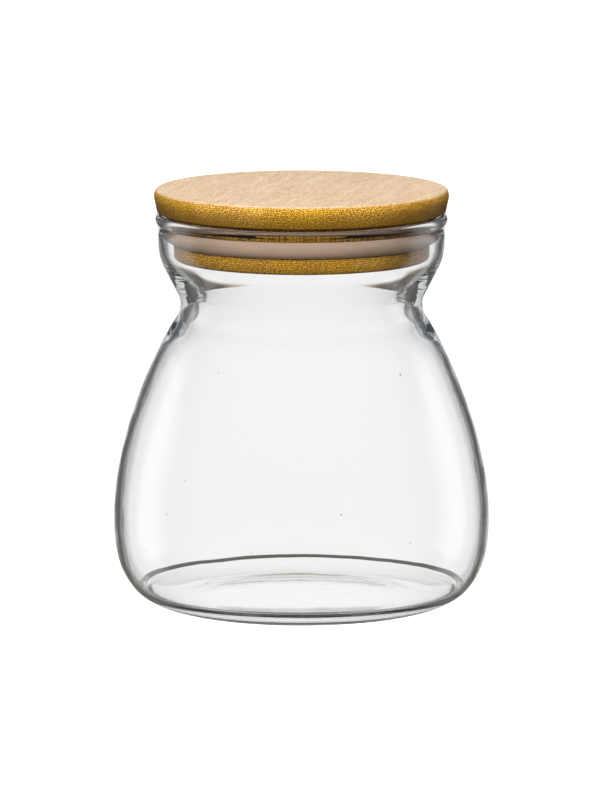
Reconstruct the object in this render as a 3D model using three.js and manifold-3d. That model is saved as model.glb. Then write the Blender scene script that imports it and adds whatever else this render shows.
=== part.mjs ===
// A lidded glass canister: a blown borosilicate jar with a pinched neck, closed by a turned bamboo lid
// whose plug carries a silicone ring seal. Units are millimetres and +Z is up. The origin is on the table,
// under the jar's axis.
import * as THREE from "three";
import { mergeVertices } from "three/addons/utils/BufferGeometryUtils.js";
import Module from "manifold-3d";

const wasm = await Module();
wasm.setup();

// The jar's outer skin, from the table up.
const FOOT_RADIUS = 40.5;
const BELLY_RADIUS = 64.1;
const BELLY_HEIGHT = 30.4;
const PINCH_RADIUS = 40;
const PINCH_HEIGHT = 102.6;
const PINCH_ROUND = 4;
const SHOULDER_SLOPE = 0.66;
const FLARE_SLOPE = 0.51;
const COLLAR_RADIUS = 48.8;
const COLLAR_HEIGHT = 126.3;
const LIP_HEIGHT = 134.1;
const LIP_HALF_WIDTH = 1.4;
const LIP_HALF_HEIGHT = 2;

// The punt is the shallow dome pushed up into the middle of the base.
const PUNT_RADIUS = 36;
const PUNT_RISE = 0.8;

// The glass is a little thinner in the base, and much thicker just below the middle of the pinch.
const WALL = 2;
const BASE_WALL = 1.8;
const PINCH_WALL = 3.8;
const THICKEST_HEIGHT = 101.4;

// The lid: a disc that overhangs the lip, and a plug below it with a groove for the seal.
const LID_LIFT = 0.6;
const DISC_RADIUS = 50;
const DISC_THICKNESS = 7.8;
const PLUG_RADIUS = 43.5;
const PLUG_HEIGHT = 15.8;
const GROOVE_DEPTH = 2.5;
const GROOVE_HEIGHT = 7.3;
const GROOVE_LIFT = 5.1;

// Both plies are glued up from strips of one width, and the grain runs nearly front to back.
const STRIP_WIDTH = 26.7;
const STRIP_OFFSET = 1.2;
const GRAIN_TURN = THREE.MathUtils.degToRad(-16);

const SEAL_RADIUS = 46.4;
const SEAL_BAND = 1.8;
const SEAL_SKIRT = 1.1;

// A glue line's thickness, and the running clearance.
const GAP = 0.3;
const AROUND = 56;

const glass = new THREE.MeshStandardMaterial({
  color: 0xe8eef0,
  roughness: 0.04,
  metalness: 0,
  transparent: true,
  opacity: 0.35,
});
const bamboo = new THREE.MeshStandardMaterial({ color: 0xd9a95c, roughness: 0.55, metalness: 0 });
const silicone = new THREE.MeshStandardMaterial({ color: 0xd8cfc4, roughness: 0.45, metalness: 0 });

// Turns an outline about the Z axis. Its points are (radius, height), and it runs anticlockwise.
function turned(outline) {
  return new THREE.LatheGeometry(outline, AROUND).rotateX(Math.PI / 2);
}

function toSolid(geometry) {
  const bare = geometry.clone();
  bare.deleteAttribute("normal");
  bare.deleteAttribute("uv");
  const merged = mergeVertices(bare);
  return new wasm.Manifold(
    new wasm.Mesh({
      numProp: 3,
      vertProperties: new Float32Array(merged.attributes.position.array),
      triVerts: new Uint32Array(merged.index.array),
    }),
  );
}

function toGeometry(solid) {
  const mesh = solid.getMesh();
  return new THREE.BufferGeometry()
    .setAttribute("position", new THREE.BufferAttribute(mesh.vertProperties, 3))
    .setIndex(new THREE.BufferAttribute(mesh.triVerts, 1));
}

function named(name, geometry, material) {
  const mesh = new THREE.Mesh(geometry, material);
  mesh.name = name;
  return mesh;
}

// ---- Jar ----

// The skin from the middle of the punt, round the heel, up the shoulder, through the pinch to the collar.
function jarSkin() {
  const shoulderEnd = new THREE.Vector2(
    PINCH_RADIUS + SHOULDER_SLOPE * PINCH_ROUND,
    PINCH_HEIGHT - PINCH_ROUND,
  );
  const flareStart = new THREE.Vector2(
    PINCH_RADIUS + FLARE_SLOPE * PINCH_ROUND,
    PINCH_HEIGHT + PINCH_ROUND,
  );
  const shoulderPull = 12.5;
  const flarePull = 10.3;
  const heelReach = 23.3;
  const heelRise = 20.6;
  const shoulderRise = 25;
  const collarDrop = 8;
  const puntFlat = 0.6 * PUNT_RADIUS;

  const punt = new THREE.QuadraticBezierCurve(
    new THREE.Vector2(0, PUNT_RISE),
    new THREE.Vector2(puntFlat, PUNT_RISE),
    new THREE.Vector2(PUNT_RADIUS, 0),
  );
  const heel = new THREE.CubicBezierCurve(
    new THREE.Vector2(FOOT_RADIUS, 0),
    new THREE.Vector2(FOOT_RADIUS + heelReach, 0),
    new THREE.Vector2(BELLY_RADIUS, heelRise),
    new THREE.Vector2(BELLY_RADIUS, BELLY_HEIGHT),
  );
  const shoulder = new THREE.CubicBezierCurve(
    heel.v3,
    new THREE.Vector2(BELLY_RADIUS, BELLY_HEIGHT + shoulderRise),
    new THREE.Vector2(shoulderEnd.x + shoulderPull * SHOULDER_SLOPE, shoulderEnd.y - shoulderPull),
    shoulderEnd,
  );
  const pinch = new THREE.QuadraticBezierCurve(
    shoulderEnd,
    new THREE.Vector2(PINCH_RADIUS, PINCH_HEIGHT),
    flareStart,
  );
  const flare = new THREE.CubicBezierCurve(
    flareStart,
    new THREE.Vector2(flareStart.x + flarePull * FLARE_SLOPE, flareStart.y + flarePull),
    new THREE.Vector2(COLLAR_RADIUS, COLLAR_HEIGHT - collarDrop),
    new THREE.Vector2(COLLAR_RADIUS, COLLAR_HEIGHT),
  );
  return [
    ...punt.getPoints(3),
    ...heel.getPoints(9),
    ...shoulder.getPoints(8).slice(1),
    ...pinch.getPoints(4).slice(1),
    ...flare.getPoints(5).slice(1),
  ];
}

function wallAt(height) {
  const baseSpread = 9;
  const fromThickest = height - THICKEST_HEIGHT;
  const pinchSpread = fromThickest > 0 ? 10 : 8;
  const nearBase = Math.exp(-((height / baseSpread) ** 2));
  const nearPinch = Math.exp(-((fromThickest / pinchSpread) ** 2));
  return WALL + (BASE_WALL - WALL) * nearBase + (PINCH_WALL - WALL) * nearPinch;
}

// The inside of the glass: each point of the skin moved inwards, square to it, by the wall there.
function jarLining(skin) {
  return skin.map((point, i) => {
    const before = skin[Math.max(i - 1, 0)];
    const after = skin[Math.min(i + 1, skin.length - 1)];
    const along = new THREE.Vector2().subVectors(after, before).normalize();
    const wall = wallAt(point.y);
    const radius = point.x - along.y * wall;
    return new THREE.Vector2(i === 0 ? 0 : radius, point.y + along.x * wall);
  });
}

// The fire-polished lip is an oval bead that is flush with the lining and stands proud of the collar.
function lipBead() {
  const middle = COLLAR_RADIUS - WALL + LIP_HALF_WIDTH;
  const height = LIP_HEIGHT - LIP_HALF_HEIGHT;
  const undercut = THREE.MathUtils.degToRad(-65);
  const bead = new THREE.Path();
  bead.absellipse(middle, height, LIP_HALF_WIDTH, LIP_HALF_HEIGHT, undercut, Math.PI, false);
  return bead.getPoints(6);
}

function jarBody() {
  const skin = jarSkin();
  const lining = jarLining(skin).reverse();
  return turned([...skin, ...lipBead(), ...lining]);
}

// ---- Lid ----

const discUnderside = LIP_HEIGHT + LID_LIFT;
const plugTop = discUnderside - GAP;
const plugBottom = discUnderside - PLUG_HEIGHT;
const grooveBottom = plugBottom + GROOVE_LIFT;
const grooveTop = grooveBottom + GROOVE_HEIGHT;
const grooveRadius = PLUG_RADIUS - GROOVE_DEPTH;

// The disc's rim is widest near its top, leans in below, and has both corners rounded.
function discBlank() {
  const widestDrop = 2.8;
  const lean = 0.9;
  const lowerRound = 0.7;
  const upperRound = 1.5;
  const upperPull = 1;
  const top = discUnderside + DISC_THICKNESS;
  const foot = DISC_RADIUS - lean;
  const crest = DISC_RADIUS - upperRound;
  const rim = new THREE.Path();
  rim.moveTo(0, discUnderside);
  rim.lineTo(foot - lowerRound, discUnderside);
  rim.quadraticCurveTo(foot, discUnderside, foot, discUnderside + lowerRound);
  rim.lineTo(DISC_RADIUS, top - widestDrop);
  rim.bezierCurveTo(DISC_RADIUS, top - upperPull, crest + upperPull, top, crest, top);
  rim.lineTo(0, top);
  return turned(rim.getPoints(3));
}

function plugBlank() {
  const round = 1;
  const side = new THREE.Path();
  side.moveTo(0, plugBottom);
  side.lineTo(PLUG_RADIUS - round, plugBottom);
  side.quadraticCurveTo(PLUG_RADIUS, plugBottom, PLUG_RADIUS, plugBottom + round);
  side.lineTo(PLUG_RADIUS, grooveBottom);
  side.lineTo(grooveRadius, grooveBottom);
  side.lineTo(grooveRadius, grooveTop);
  side.lineTo(PLUG_RADIUS, grooveTop);
  side.lineTo(PLUG_RADIUS, plugTop);
  side.lineTo(0, plugTop);
  return turned(side.getPoints(2));
}

// Cuts a turned blank into its strips, numbered across the grain from left to right.
function strips(name, blank) {
  const firstJoint = STRIP_OFFSET - 2 * STRIP_WIDTH;
  const slabLength = 3 * DISC_RADIUS;
  const slabHeight = 3 * PLUG_HEIGHT;
  const board = toSolid(blank);
  return [0, 1, 2, 3].map((i) => {
    const middle = firstJoint + (i + 0.5) * STRIP_WIDTH;
    const slab = new THREE.BoxGeometry(STRIP_WIDTH - GAP, slabLength, slabHeight)
      .translate(middle, 0, discUnderside)
      .rotateZ(GRAIN_TURN);
    return named(`${name}_${i + 1}`, toGeometry(board.intersect(toSolid(slab))), bamboo);
  });
}

// ---- Seal ----

// A flat band fills the groove. From its lower edge a skirt curves out and up to meet the glass, so the
// ring is open upwards between the two.
function sealRing() {
  const low = grooveBottom + GAP;
  const high = grooveTop - GAP;
  const back = grooveRadius + GAP;
  const front = back + SEAL_BAND;
  const inner = SEAL_RADIUS - SEAL_SKIRT;
  const crest = SEAL_RADIUS - SEAL_SKIRT / 2;
  const toe = PLUG_RADIUS + 0.4;
  const sweep = new THREE.Vector2(SEAL_RADIUS - 0.6, low + 0.9);
  const web = low + 1.6;
  const upright = low + 4.2;
  const tip = high - SEAL_SKIRT / 2;
  const outline = new THREE.Path();
  outline.moveTo(back, low);
  outline.lineTo(toe, low);
  outline.quadraticCurveTo(sweep.x, sweep.y, SEAL_RADIUS, upright);
  outline.lineTo(SEAL_RADIUS, tip);
  outline.quadraticCurveTo(SEAL_RADIUS, high, crest, high);
  outline.quadraticCurveTo(inner, high, inner, tip);
  outline.lineTo(inner, upright);
  outline.quadraticCurveTo(inner, web, front, web);
  outline.lineTo(front, high);
  outline.lineTo(back, high);
  outline.lineTo(back, low);
  return turned(outline.getPoints(2));
}

const canister = new THREE.Group();
canister.name = "canister";

const lid = new THREE.Group();
lid.name = "lid";
lid.add(...strips("lid_disc_strip", discBlank()));
lid.add(...strips("lid_plug_strip", plugBlank()));
lid.add(named("seal_ring", sealRing(), silicone));

canister.add(named("jar_body", jarBody(), glass));
canister.add(lid);

export default canister;
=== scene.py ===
"""A lidded glass canister: a blown jar with a pinched neck, a turned bamboo lid and its silicone seal."""

import math
import random

import bmesh
import bpy
from mathutils import Euler, Matrix, Vector, noise


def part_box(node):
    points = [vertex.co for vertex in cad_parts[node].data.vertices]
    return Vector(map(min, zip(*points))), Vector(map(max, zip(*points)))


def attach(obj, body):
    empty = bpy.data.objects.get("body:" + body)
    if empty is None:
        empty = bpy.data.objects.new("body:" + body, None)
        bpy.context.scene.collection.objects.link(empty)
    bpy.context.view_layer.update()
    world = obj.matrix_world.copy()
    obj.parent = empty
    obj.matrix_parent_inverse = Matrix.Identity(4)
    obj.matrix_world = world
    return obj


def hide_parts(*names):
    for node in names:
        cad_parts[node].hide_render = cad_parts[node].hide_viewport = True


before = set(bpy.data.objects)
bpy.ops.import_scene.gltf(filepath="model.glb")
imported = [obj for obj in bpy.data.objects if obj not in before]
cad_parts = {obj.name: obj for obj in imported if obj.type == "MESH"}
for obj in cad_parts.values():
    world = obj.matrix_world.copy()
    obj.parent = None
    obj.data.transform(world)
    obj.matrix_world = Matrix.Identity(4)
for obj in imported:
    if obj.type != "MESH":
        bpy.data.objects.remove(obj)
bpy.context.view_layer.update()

MM = 0.001
DISC_NODES = [f"lid_disc_strip_{i}" for i in range(1, 5)]
PLUG_NODES = [f"lid_plug_strip_{i}" for i in range(1, 5)]


def box_of(nodes):
    """The lowest and highest corners of several nodes together."""
    boxes = [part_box(node) for node in nodes]
    low = Vector([min(b[0][axis] for b in boxes) for axis in range(3)])
    high = Vector([max(b[1][axis] for b in boxes) for axis in range(3)])
    return low, high


jar_low, jar_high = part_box("jar_body")
seal_low, seal_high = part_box("seal_ring")
disc_low, disc_high = box_of(DISC_NODES)
plug_low, plug_high = box_of(PLUG_NODES)

# The grain runs nearly front to back, and the strips lie side by side across it.
GRAIN_TURN = math.radians(-16)
GRAIN = Vector((-math.sin(GRAIN_TURN), math.cos(GRAIN_TURN), 0))
ACROSS = Vector((math.cos(GRAIN_TURN), math.sin(GRAIN_TURN), 0))
STRIP_WIDTH = 26.7 * MM
STRIP_OFFSET = 1.2 * MM
GLUE_LINE = 0.05 * MM


# ---- Outlines: lists of (radius, height) points ----


def bezier(controls, steps):
    """Points along one Bezier curve of any degree, without its first point."""
    points = []
    for step in range(1, steps + 1):
        t = step / steps
        level = [Vector(c) for c in controls]
        while len(level) > 1:
            level = [a.lerp(b, t) for a, b in zip(level, level[1:])]
        points.append(level[0])
    return points


def jar_skin():
    """The outside of the glass, from the middle of the punt to the top of the collar."""
    belly_radius, belly_height = jar_high.x, 30.4 * MM
    foot_radius, punt_radius, punt_rise = 40.5 * MM, 36 * MM, 0.8 * MM
    pinch = Vector((40 * MM, 102.6 * MM))
    pinch_round = 4 * MM
    shoulder_slope, flare_slope = 0.66, 0.51
    collar = Vector((48.8 * MM, 126.3 * MM))
    shoulder_end = pinch + Vector((shoulder_slope, -1)) * pinch_round
    flare_start = pinch + Vector((flare_slope, 1)) * pinch_round

    points = [Vector((0, punt_rise))]
    points += bezier([(0, punt_rise), (0.6 * punt_radius, punt_rise), (punt_radius, 0)], 20)
    points += bezier([(punt_radius, 0), (foot_radius, 0)], 6)
    heel_reach, heel_rise = 23.3 * MM, 20.6 * MM
    points += bezier(
        [
            (foot_radius, 0),
            (foot_radius + heel_reach, 0),
            (belly_radius, heel_rise),
            (belly_radius, belly_height),
        ],
        48,
    )
    shoulder_rise, shoulder_pull = 25 * MM, 12.5 * MM
    points += bezier(
        [
            (belly_radius, belly_height),
            (belly_radius, belly_height + shoulder_rise),
            shoulder_end + Vector((shoulder_slope, -1)) * shoulder_pull,
            shoulder_end,
        ],
        60,
    )
    points += bezier([shoulder_end, pinch, flare_start], 20)
    flare_pull, collar_drop = 10.3 * MM, 8 * MM
    points += bezier(
        [
            flare_start,
            flare_start + Vector((flare_slope, 1)) * flare_pull,
            collar - Vector((0, collar_drop)),
            collar,
        ],
        30,
    )
    return points


def wall_at(height):
    """The glass is a little thinner in the base, and thickest just below the middle of the pinch.

    A low ridge runs round the inside of the heel, where the floor settled against the wall.
    """
    wall, base_less, pinch_more, ridge_more = 2 * MM, 0.2 * MM, 1.8 * MM, 0.7 * MM
    base_spread, ridge_spread = 9 * MM, 1 * MM
    from_ridge, from_thickest = height - 3.7 * MM, height - 101.4 * MM
    pinch_spread = (10 if from_thickest > 0 else 8) * MM
    near_base = math.exp(-((height / base_spread) ** 2))
    near_ridge = math.exp(-((from_ridge / ridge_spread) ** 2))
    near_pinch = math.exp(-((from_thickest / pinch_spread) ** 2))
    return wall - base_less * near_base + ridge_more * near_ridge + pinch_more * near_pinch


def jar_lining(skin):
    """The inside of the glass: each point of the skin moved inwards, square to it, by the wall there."""
    points = []
    for i, point in enumerate(skin):
        along = (skin[min(i + 1, len(skin) - 1)] - skin[max(i - 1, 0)]).normalized()
        wall = wall_at(point.y)
        radius = point.x - along.y * wall if i else 0
        points.append(Vector((radius, point.y + along.x * wall)))
    return points


def lip_bead():
    """The fire-polished lip: an oval bead that is flush with the lining and stands proud of the collar."""
    half_width, half_height = 1.4 * MM, 2 * MM
    middle = Vector((48.2 * MM, jar_high.z - half_height))
    start, end, steps = math.radians(-65), math.radians(180), 28
    angles = [start + (end - start) * step / steps for step in range(steps + 1)]
    return [middle + Vector((math.cos(a) * half_width, math.sin(a) * half_height)) for a in angles]


def disc_outline():
    """The lid's disc: widest near the top of its rim, leaning in below, with both corners rounded."""
    radius, low, high = disc_high.y, disc_low.z, disc_high.z
    lean, corner = 0.9 * MM, 0.7 * MM
    shoulder = high - 2.8 * MM
    crest, crest_pull = radius - 1.5 * MM, 1 * MM
    points = [Vector((0, low)), Vector((radius - lean - corner, low))]
    points += bezier([points[-1], (radius - lean, low), (radius - lean, low + corner)], 8)
    points += bezier([points[-1], (radius, shoulder)], 4)
    turn_in, turn_over = (radius, high - crest_pull), (crest + crest_pull, high)
    points += bezier([points[-1], turn_in, turn_over, (crest, high)], 14)
    points.append(Vector((0, high)))
    return points


def plug_outline():
    """The plug: a rounded lower edge, and the groove that the seal sits in."""
    radius, low, high = 43.5 * MM, plug_low.z, plug_high.z
    corner, groove_depth, groove_height = 1 * MM, 2.5 * MM, 7.3 * MM
    groove_low = low + 5.1 * MM
    groove_high = groove_low + groove_height
    points = [Vector((0, low)), Vector((radius - corner, low))]
    points += bezier([points[-1], (radius, low), (radius, low + corner)], 8)
    edges = [
        (radius, groove_low),
        (radius - groove_depth, groove_low),
        (radius - groove_depth, groove_high),
        (radius, groove_high),
        (radius, high),
        (0, high),
    ]
    points += [Vector(edge) for edge in edges]
    return points


def seal_outline():
    """A flat band in the groove, and a skirt that curves out and up from its lower edge to the glass."""
    low, high, reach = seal_low.z, seal_high.z, seal_high.x
    back, band, toe = 41.3 * MM, 1.8 * MM, 43.9 * MM
    skirt, tip_round = 1.1 * MM, 0.5 * MM
    sweep = (reach - 0.6 * MM, low + 0.9 * MM)
    web, upright = low + 1.6 * MM, low + 4.2 * MM
    inner, tip = reach - skirt, high - tip_round
    points = [Vector((back, low)), Vector((toe, low))]
    points += bezier([points[-1], sweep, (reach, upright)], 14)
    points.append(Vector((reach, tip)))
    points += bezier([points[-1], (reach, high), (reach - skirt / 2, high)], 6)
    points += bezier([points[-1], (inner, high), (inner, tip)], 6)
    points.append(Vector((inner, upright)))
    points += bezier([points[-1], (inner, web), (back + band, web)], 10)
    points += [Vector((back + band, high)), Vector((back, high))]
    return points


# ---- Meshes ----


def turned(outline, around, closed=False):
    """Turns an outline about Z into a bmesh. It starts and ends on the axis, or closes on itself."""
    bm = bmesh.new()
    rings = []
    for radius, height in outline:
        if radius < 1e-6:
            rings.append([bm.verts.new((0, 0, height))])
            continue
        turns = [2 * math.pi * k / around for k in range(around)]
        rings.append([bm.verts.new((radius * math.cos(a), radius * math.sin(a), height)) for a in turns])
    if closed:
        rings.append(rings[0])
    for lower, upper in zip(rings, rings[1:]):
        for k in range(around):
            after = (k + 1) % around
            if len(lower) == 1:
                bm.faces.new((lower[0], upper[after], upper[k]))
            elif len(upper) == 1:
                bm.faces.new((lower[k], lower[after], upper[0]))
            else:
                bm.faces.new((lower[k], lower[after], upper[after], upper[k]))
    bmesh.ops.recalc_face_normals(bm, faces=bm.faces)
    return bm


def piece(name, bm, material, sharp_degrees=None):
    """Makes the object for a bmesh, smooth all over or smooth up to an angle."""
    mesh = bpy.data.meshes.new(name)
    bm.to_mesh(mesh)
    bm.free()
    for polygon in mesh.polygons:
        polygon.use_smooth = True
    if sharp_degrees:
        mesh.set_sharp_from_angle(angle=math.radians(sharp_degrees))
    mesh.materials.append(material)
    made = bpy.data.objects.new(name, mesh)
    bpy.context.scene.collection.objects.link(made)
    return made


def ripple(bm, depth):
    """Moves each vertex in or out a little, the skin less than the lining, as blown glass is uneven."""
    broad_scale, fine_scale, fine_share = 45, 160, 0.15
    skin_share = 0.4
    for vert in bm.verts:
        flat = Vector((vert.co.x, vert.co.y, 0))
        if flat.length < 1 * MM:
            continue
        broad = noise.noise(vert.co * broad_scale)
        fine = noise.noise(vert.co * fine_scale + Vector((3, 1, 7)))
        share = 1 if vert.normal.dot(flat) < 0 else skin_share
        vert.co += flat.normalized() * depth * share * (broad + fine_share * fine)


def seed_bubbles(bm, count):
    """Small air bubbles in the glass wall: closed shells with their faces turned inwards."""
    draw = random.Random(11)
    skin = jar_skin()
    heel_point, shoulder_point = 60, 130
    start = len(bm.faces)
    for _ in range(count):
        point = skin[draw.randrange(heel_point, shoulder_point)]
        turn = draw.uniform(0, 2 * math.pi)
        radius = point.x - 0.5 * wall_at(point.y)
        size = draw.uniform(0.12, 0.26) * MM
        place = Matrix.Translation((radius * math.cos(turn), radius * math.sin(turn), point.y))
        stretch = Matrix.Diagonal((1, 1, draw.uniform(1, 1.9), 1))
        bmesh.ops.create_icosphere(bm, subdivisions=2, radius=size, matrix=place @ stretch)
    bm.faces.ensure_lookup_table()
    bmesh.ops.reverse_faces(bm, faces=bm.faces[start:])


def cut_strip(outline, low, high):
    """The part of a turned blank between two planes square to ACROSS."""
    bm = turned(outline, 192)
    for reach, side in ((low, -1), (high, 1)):
        geometry = bm.verts[:] + bm.edges[:] + bm.faces[:]
        cut = bmesh.ops.bisect_plane(
            bm, geom=geometry, dist=1e-7, plane_co=ACROSS * reach, plane_no=ACROSS * side, clear_outer=True
        )
        edges = [e for e in cut["geom_cut"] if isinstance(e, bmesh.types.BMEdge)]
        if edges:
            bmesh.ops.holes_fill(bm, edges=edges, sides=0)
    bmesh.ops.recalc_face_normals(bm, faces=bm.faces)
    return bm


# ---- Materials ----


class Tree:
    """A material's node tree, with short calls that add nodes and join them."""

    def __init__(self, name):
        self.material = bpy.data.materials.new(name)
        self.material.use_nodes = True
        self.nodes = self.material.node_tree.nodes
        self.links = self.material.node_tree.links
        self.nodes.clear()

    def add(self, kind, **settings):
        node = self.nodes.new(kind)
        for key, value in settings.items():
            setattr(node, key, value)
        return node

    def feed(self, socket, value):
        if isinstance(value, bpy.types.NodeSocket):
            self.links.new(value, socket)
        else:
            socket.default_value = value

    def math(self, operation, *values):
        node = self.add("ShaderNodeMath", operation=operation)
        for socket, value in zip(node.inputs, values):
            self.feed(socket, value)
        return node.outputs[0]

    def vector(self, operation, *values):
        node = self.add("ShaderNodeVectorMath", operation=operation)
        for socket, value in zip(node.inputs, values):
            self.feed(socket, value)
        return node.outputs["Value" if operation == "DOT_PRODUCT" else "Vector"]

    def ramp(self, value, low, high, out_low=0.0, out_high=1.0):
        """A smooth step from out_low at low to out_high at high."""
        node = self.add("ShaderNodeMapRange", interpolation_type="SMOOTHSTEP")
        for socket, fed in zip(node.inputs, (value, low, high, out_low, out_high)):
            self.feed(socket, fed)
        return node.outputs[0]

    def mix(self, factor, a, b, blend="MIX"):
        node = self.add("ShaderNodeMix", data_type="RGBA", blend_type=blend)
        self.feed(node.inputs["Factor"], factor)
        self.feed(node.inputs[6], a)
        self.feed(node.inputs[7], b)
        return node.outputs[2]

    def noise(self, vector, scale, detail=2.0, roughness=0.5, output="Fac"):
        node = self.add("ShaderNodeTexNoise")
        self.feed(node.inputs["Vector"], vector)
        self.feed(node.inputs["Scale"], scale)
        self.feed(node.inputs["Detail"], detail)
        self.feed(node.inputs["Roughness"], roughness)
        return node.outputs[output]

    def voronoi(self, vector, scale, randomness):
        """Cells in the X and Y of a vector."""
        node = self.add("ShaderNodeTexVoronoi", voronoi_dimensions="2D")
        self.feed(node.inputs["Vector"], vector)
        self.feed(node.inputs["Scale"], scale)
        self.feed(node.inputs["Randomness"], randomness)
        return node

    def bump(self, height, strength, distance):
        node = self.add("ShaderNodeBump")
        self.feed(node.inputs["Height"], height)
        self.feed(node.inputs["Strength"], strength)
        self.feed(node.inputs["Distance"], distance)
        return node.outputs["Normal"]

    def surface(self, **inputs):
        """The Principled shader. Its inputs' names are given with _ for a space."""
        shader = self.add("ShaderNodeBsdfPrincipled")
        for key, value in inputs.items():
            self.feed(shader.inputs[key.replace("_", " ")], value)
        output = self.add("ShaderNodeOutputMaterial")
        self.links.new(shader.outputs[0], output.inputs["Surface"])
        return output


def glass_material():
    """Clear borosilicate, with the faint waviness of blown glass and a trace of grey in depth."""
    tree = Tree("borosilicate")
    place = tree.add("ShaderNodeTexCoord").outputs["Object"]
    smear = tree.noise(place, 70.0, 4.0)
    waves = tree.noise(place, 120.0, 1.0)
    output = tree.surface(
        Base_Color=(1, 1, 1, 1),
        Roughness=tree.ramp(smear, 0.45, 0.75, 0.0, 0.015),
        IOR=1.47,
        Transmission_Weight=1.0,
        Normal=tree.bump(waves, 0.02, 1 * MM),
    )
    depth = tree.add("ShaderNodeVolumeAbsorption")
    tree.feed(depth.inputs["Color"], (0.83, 0.86, 0.87, 1))
    tree.feed(depth.inputs["Density"], 30.0)
    tree.links.new(depth.outputs[0], output.inputs["Volume"])
    return tree.material


def bamboo_material(name, tone, painted_shade_edge, draw):
    """Pressed bamboo as a solid: bundles of dark fibre run along the grain through a paler ground.

    They show as dots on end grain and as streaks on the other faces. The rim and underside took up more
    oil than the sanded top, so they are darker and more golden. Painted shade darkens them further towards
    the bottom, most of all at the height that the caller gives.
    A tone of 1 is yellower and lighter than 0.
    """
    tree = Tree(name)
    coordinates = tree.add("ShaderNodeTexCoord")
    turn = tree.add("ShaderNodeMapping")
    tree.feed(turn.inputs["Vector"], coordinates.outputs["Object"])
    turn.inputs["Rotation"].default_value = Euler((0, 0, -GRAIN_TURN))
    turn.inputs["Location"].default_value = [draw.uniform(-1, 1) for _ in range(3)]
    place = turn.outputs[0]

    sway_width = 4 * MM
    drift = tree.noise(tree.vector("MULTIPLY", place, (60, 30, 60)), 1.0, 1.0, output="Color")
    centred = tree.vector("SUBTRACT", drift, (0.5, 0.5, 0.5))
    sway = tree.vector("MULTIPLY", centred, (sway_width, 0, sway_width))
    swayed = tree.vector("ADD", place, sway)
    section = tree.add("ShaderNodeSeparateXYZ")
    tree.feed(section.inputs[0], swayed)
    staggered = tree.add("ShaderNodeCombineXYZ")
    skew, row_height = 0.5, 0.87
    skewed = tree.math("ADD", section.outputs["X"], tree.math("MULTIPLY", section.outputs["Z"], skew))
    tree.feed(staggered.inputs["X"], skewed)
    tree.feed(staggered.inputs["Y"], tree.math("MULTIPLY", section.outputs["Z"], row_height))

    bundles_per_metre = 1650.0
    bundle_cells = tree.voronoi(staggered.outputs[0], bundles_per_metre, 0.55)
    bundles = tree.ramp(bundle_cells.outputs["Distance"], 0.46, 0.20)
    between = tree.ramp(bundle_cells.outputs["Distance"], 0.38, 0.60)
    fibres = tree.noise(tree.vector("MULTIPLY", swayed, (2600, 60, 2600)), 1.0, 3.0, 0.6)
    broad = tree.noise(tree.vector("MULTIPLY", swayed, (300, 30, 300)), 1.0, 4.0, 0.65)
    cloud = tree.noise(place, 90.0, 4.0)
    speck = tree.noise(tree.vector("MULTIPLY", place, (2200, 700, 2200)), 1.0, 2.0)
    flecks = tree.noise(tree.vector("MULTIPLY", swayed, (900, 150, 900)), 1.0, 3.0, 0.6)

    normal = coordinates.outputs["Normal"]
    facing_grain = tree.math("ABSOLUTE", tree.vector("DOT_PRODUCT", normal, tuple(GRAIN)))
    end_grain = tree.ramp(facing_grain, 0.3, 0.75)
    facing_up = tree.ramp(tree.vector("DOT_PRODUCT", normal, (0, 0, 1)), 0.35, 0.85)

    sanded, sanded_dark = (0.69, 0.48, 0.29, 1), (0.55, 0.36, 0.19 + 0.02 * tone, 1)
    pinkish, cream, cut_fibre = (0.86, 0.66, 0.50, 1), (0.86, 0.69, 0.50, 1), (0.46, 0.29, 0.16, 1)
    top_ground = tree.mix(tree.ramp(broad, 0.25, 0.75), sanded, sanded_dark)
    top_patches = tree.mix(tree.ramp(flecks, 0.48, 0.70, 0, 0.55), top_ground, pinkish)
    top_streaks = tree.mix(tree.math("MULTIPLY", bundles, 0.20), top_patches, cut_fibre)
    top_colour = tree.mix(tree.ramp(speck, 0.47, 0.62, 0, 0.60), top_streaks, cream)

    rich = (0.76 + 0.10 * tone, 0.38 + 0.09 * tone, 0.006 + 0.03 * tone, 1)
    brown = (0.60 + 0.08 * tone, 0.29 + 0.06 * tone, 0.012 + 0.03 * tone, 1)
    straw, dark_bundle = (0.96, 0.58, 0.07 + 0.12 * tone, 1), (0.16, 0.065, 0.003, 1)
    rim_ground = tree.mix(tree.ramp(cloud, 0.35, 0.65), rich, brown)
    rim_pale = tree.mix(tree.math("MULTIPLY", between, 0.7), rim_ground, straw)
    end_colour = tree.mix(tree.math("MULTIPLY", bundles, 0.9), rim_pale, dark_bundle)

    honey, toffee, dark_fibre = (0.66, 0.36, 0.05, 1), (0.44, 0.21, 0.02, 1), (0.26, 0.12, 0.015, 1)
    long_ground = tree.mix(tree.ramp(flecks, 0.38, 0.62), honey, toffee)
    long_colour = tree.mix(tree.ramp(fibres, 0.5, 0.75, 0, 0.5), long_ground, dark_fibre)
    rim_colour = tree.mix(end_grain, long_colour, end_colour)

    # Painted shade: the rim and plug are darkened towards their bottom, standing in for the shade that
    # falls on the lower rim.
    painted_shade_colour, painted_shade_reach = (0.12, 0.055, 0.006, 1), 7 * MM
    height = tree.add("ShaderNodeSeparateXYZ")
    tree.feed(height.inputs[0], coordinates.outputs["Object"])
    painted_shade_mask = tree.ramp(height.outputs["Z"], painted_shade_edge + painted_shade_reach, painted_shade_edge, 0, 0.8)
    painted_shade_rim = tree.mix(painted_shade_mask, rim_colour, painted_shade_colour)
    colour = tree.mix(facing_up, painted_shade_rim, top_colour)

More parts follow.
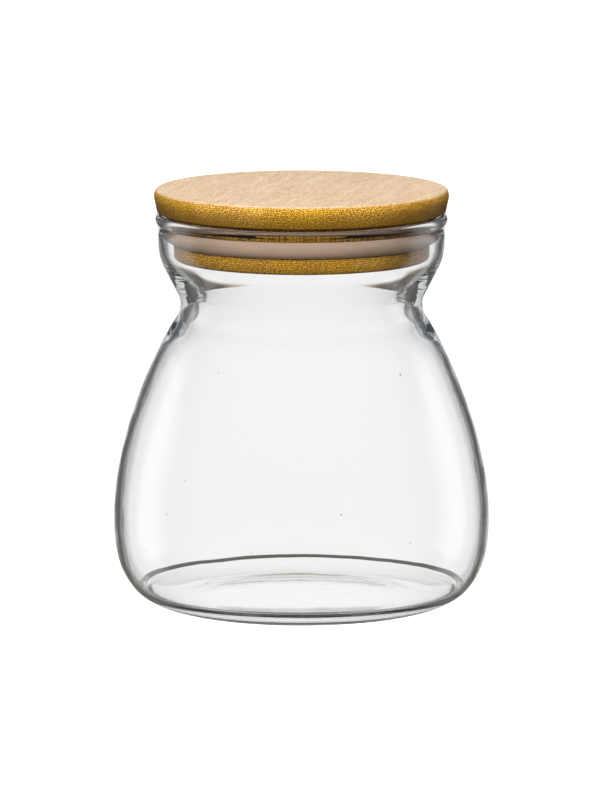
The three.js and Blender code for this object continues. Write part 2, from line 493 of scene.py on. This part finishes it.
    raised, sunk = tree.math("MULTIPLY", fibres, 0.5), tree.math("MULTIPLY", bundles, 0.6)
    grain_height = tree.math("SUBTRACT", raised, sunk)
    tree.surface(
        Base_Color=colour,
        Roughness=tree.ramp(broad, 0.2, 0.8, 0.42, 0.6),
        Specular_IOR_Level=0.1,
        Normal=tree.bump(grain_height, 0.3, 0.1 * MM),
    )
    return tree.material


def silicone_material():
    """Milky silicone that takes some of the bamboo's warmth through it."""
    tree = Tree("silicone")
    place = tree.add("ShaderNodeTexCoord").outputs["Object"]
    cloud = tree.noise(place, 90.0, 3.0)
    speck = tree.noise(place, 2500.0, 2.0)
    milky, milky_dark = (0.67, 0.49, 0.36, 1), (0.58, 0.41, 0.30, 1)
    tree.surface(
        Base_Color=tree.mix(cloud, milky, milky_dark),
        Roughness=tree.ramp(cloud, 0.3, 0.7, 0.34, 0.46),
        Subsurface_Weight=0.3,
        Subsurface_Radius=(0.8, 0.6, 0.4),
        Subsurface_Scale=1.5 * MM,
        Normal=tree.bump(speck, 0.08, 0.05 * MM),
    )
    return tree.material


# ---- The object ----


def make_jar(material):
    """The turned shell and its bubbles. It casts no shadow, so the lamps reach the seal and the plug."""
    around, unevenness, bubbles = 240, 0.07 * MM, 16
    skin = jar_skin()
    outline = skin + lip_bead() + jar_lining(skin)[::-1]
    bm = turned(outline, around)
    bm.normal_update()
    ripple(bm, unevenness)
    seed_bubbles(bm, bubbles)
    jar = piece("jar_glass", bm, material)
    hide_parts("jar_body")
    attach(jar, "jar")
    jar.visible_shadow = False


def make_seal(material):
    seal = piece("seal_silicone", turned(seal_outline(), 192, closed=True), material, 50)
    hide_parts("seal_ring")
    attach(seal, "seal")


def make_strips(kind, outline, nodes, tones, painted_shade_edge):
    """One ply of the lid: its strips, left to right across the grain."""
    first_joint = STRIP_OFFSET - 2 * STRIP_WIDTH
    for i, (node, tone) in enumerate(zip(nodes, tones)):
        low = first_joint + i * STRIP_WIDTH + GLUE_LINE / 2
        high = low + STRIP_WIDTH - GLUE_LINE
        material = bamboo_material(f"bamboo_{kind}_{i + 1}", tone, painted_shade_edge, random.Random(f"{kind} {i}"))
        strip = piece(f"bamboo_{kind}_strip_{i + 1}", cut_strip(outline, low, high), material, 40)
        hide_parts(node)
        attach(strip, "lid")


# ---- Studio ----

BACK_HALF_WIDTH = 0.72
BACK_TOP = 1.35
BACK_BOTTOM = -0.50
SIDE_HALF_WIDTH = 0.75
SIDE_HALF_HEIGHT = 1.2
SIDE_TURN = math.radians(62)


def make_camera():
    """A long lens a little above the jar, as the canister fills a tall frame."""
    distance, elevation = 2.6, math.radians(8.9)
    target = Vector((-0.0005, 0, 0.0699))
    data = bpy.data.cameras.new("camera")
    data.sensor_width = 36
    data.lens = 344
    data.clip_start, data.clip_end = 0.05, 100
    camera = bpy.data.objects.new("camera", data)
    camera.location = target + distance * Vector((0, -math.cos(elevation), math.sin(elevation)))
    camera.rotation_euler = (math.pi / 2 - elevation, 0, 0)
    bpy.context.scene.collection.objects.link(camera)
    bpy.context.scene.camera = camera
    return camera


def only_seen_by(made, *kinds):
    """Leaves an object visible to some kinds of ray only."""
    for kind in ("camera", "diffuse", "glossy", "transmission", "volume_scatter", "shadow"):
        setattr(made, f"visible_{kind}", kind in kinds)


def make_floor():
    bm = bmesh.new()
    bmesh.ops.create_circle(bm, cap_ends=True, segments=96, radius=14)
    tree = Tree("floor")
    place = tree.add("ShaderNodeTexCoord").outputs["Object"]
    tint = tree.mix(tree.noise(place, 3.0), (0.90, 0.90, 0.90, 1), (0.92, 0.92, 0.92, 1))
    tree.surface(Base_Color=tint, Roughness=0.9, Emission_Color=tint, Emission_Strength=0.98)
    floor = piece("floor", bm, tree.material)
    floor.location.z = -0.05 * MM
    only_seen_by(floor, "camera", "shadow")


def make_panel(name, camera, place, turn, glow, edges, fade, fringed=False):
    """A glowing panel that turns with the camera, and is seen only in reflections and through the glass.

    Its edges fade into the dim room. On the back panel the fade is cool at the top and warm at the bottom,
    which gives the bends in the glass their faint coloured fringes.
    """
    bm = bmesh.new()
    bmesh.ops.create_grid(bm, x_segments=1, y_segments=1, size=3)
    tree = Tree(name)
    split = tree.add("ShaderNodeSeparateXYZ")
    tree.feed(split.inputs[0], tree.add("ShaderNodeTexCoord").outputs["Object"])
    half_width, top, bottom = edges
    across = tree.math("ABSOLUTE", split.outputs["X"])
    side = tree.ramp(across, half_width + fade, half_width - fade)
    above = tree.ramp(split.outputs["Y"], top + fade, top - fade)
    below = tree.ramp(split.outputs["Y"], bottom - fade, bottom + fade)
    inside = tree.math("MULTIPLY", side, tree.math("MULTIPLY", above, below))
    light = tree.add("ShaderNodeEmission")
    if fringed:
        warm = tree.mix(below, (1, 0.72, 0.42, 1), (1, 1, 1, 1))
        tree.feed(light.inputs["Color"], tree.mix(above, (0.55, 0.75, 1, 1), warm))
    tree.feed(light.inputs["Strength"], glow)
    clear = tree.add("ShaderNodeBsdfTransparent")
    blend = tree.add("ShaderNodeMixShader")
    tree.feed(blend.inputs[0], inside)
    tree.links.new(clear.outputs[0], blend.inputs[1])
    tree.links.new(light.outputs[0], blend.inputs[2])
    output = tree.add("ShaderNodeOutputMaterial")
    tree.links.new(blend.outputs[0], output.inputs["Surface"])
    panel = piece(name, bm, tree.material)
    panel.parent = camera
    panel.location = place
    panel.rotation_euler = (0, turn, 0)
    only_seen_by(panel, "transmission", "glossy")


def make_panels(camera):
    """One panel behind the jar and one on each side of it. The places are in the camera's own axes."""
    back = (BACK_HALF_WIDTH, BACK_TOP, BACK_BOTTOM)
    sides = (SIDE_HALF_WIDTH, SIDE_HALF_HEIGHT, -SIDE_HALF_HEIGHT)
    make_panel("back_panel", camera, (0, 0, -5.6), 0, 1.04, back, 0.07, True)
    for side in (-1, 1):
        place = (side * 2.1, 0, -3.7)
        make_panel(f"side_panel_{side + 2}", camera, place, -side * SIDE_TURN, 0.9, sides, 0.3)


def make_world():
    """White to the camera. To everything else it is a dim room, a little brighter overhead."""
    world = bpy.data.worlds.new("studio")
    bpy.context.scene.world = world
    world.use_nodes = True
    nodes, links = world.node_tree.nodes, world.node_tree.links
    nodes.clear()
    rays = nodes.new("ShaderNodeLightPath")
    backdrop = nodes.new("ShaderNodeBackground")
    backdrop.inputs["Color"].default_value = (1, 1, 1, 1)
    direction = nodes.new("ShaderNodeTexCoord")
    split = nodes.new("ShaderNodeSeparateXYZ")
    height = nodes.new("ShaderNodeValToRGB")
    height.color_ramp.elements[0].position = 0.35
    height.color_ramp.elements[0].color = (0.13, 0.12, 0.11, 1)
    height.color_ramp.elements[1].color = (0.42, 0.44, 0.46, 1)
    middle = height.color_ramp.elements.new(0.6)
    middle.color = (0.10, 0.105, 0.115, 1)
    shift = nodes.new("ShaderNodeMapRange")
    shift.inputs["From Min"].default_value = -1
    room = nodes.new("ShaderNodeBackground")
    choose = nodes.new("ShaderNodeMixShader")
    output = nodes.new("ShaderNodeOutputWorld")
    links.new(direction.outputs["Generated"], split.inputs[0])
    links.new(split.outputs["Z"], shift.inputs["Value"])
    links.new(shift.outputs[0], height.inputs[0])
    links.new(height.outputs[0], room.inputs["Color"])
    links.new(rays.outputs["Is Camera Ray"], choose.inputs[0])
    links.new(room.outputs[0], choose.inputs[1])
    links.new(backdrop.outputs[0], choose.inputs[2])
    links.new(choose.outputs[0], output.inputs["Surface"])


def make_turntable(camera):
    """An empty that turns about Z to face the camera, so that what it carries lights every side alike."""
    turntable = bpy.data.objects.new("turntable", None)
    bpy.context.scene.collection.objects.link(turntable)
    follow = turntable.constraints.new("LOCKED_TRACK")
    follow.target = camera
    follow.track_axis = "TRACK_NEGATIVE_Y"
    follow.lock_axis = "LOCK_Z"
    return turntable


def make_lamp(name, turntable, place, size, power):
    """A soft lamp that stands on the turntable, and leaves the glass to the panels."""
    data = bpy.data.lights.new(name, "AREA")
    data.shape = "RECTANGLE"
    data.size, data.size_y = size
    data.energy = power
    lamp = bpy.data.objects.new(name, data)
    aim = Vector((0, 0, 0.12))
    bpy.context.scene.collection.objects.link(lamp)
    lamp.parent = turntable
    lamp.location = place
    lamp.rotation_euler = (aim - Vector(place)).to_track_quat("-Z", "Y").to_euler()
    lamp.visible_glossy = False
    lamp.visible_transmission = False


def make_lamps(camera):
    turntable = make_turntable(camera)
    make_lamp("top_softbox", turntable, (0.1, -0.2, 1.3), (1.4, 1.4), 8)
    make_lamp("front_fill", turntable, (-0.25, -1.4, 1.15), (1.2, 1.0), 35)


DISC_TONES = (0.2, 1.0, 0.4, 0.8)
PLUG_TONES = (0.6, 0.4, 0.2, 0.7)
# The plug's painted shade is darkest this far below the plug, so it stays faint on the plug itself.
PLUG_PAINTED_SHADE_DROP = 2 * MM
GLASS_BOUNCES = 40

make_jar(glass_material())
make_seal(silicone_material())
# The last argument is the height where each ply's painted shade is darkest.
make_strips("disc", disc_outline(), DISC_NODES, DISC_TONES, disc_low.z)
make_strips("plug", plug_outline(), PLUG_NODES, PLUG_TONES, plug_low.z - PLUG_PAINTED_SHADE_DROP)

camera = make_camera()
make_floor()
make_panels(camera)
make_world()
make_lamps(camera)
bpy.context.scene.view_settings.view_transform = "Standard"
cycles = bpy.context.scene.cycles
cycles.max_bounces = cycles.transmission_bounces = cycles.glossy_bounces = GLASS_BOUNCES
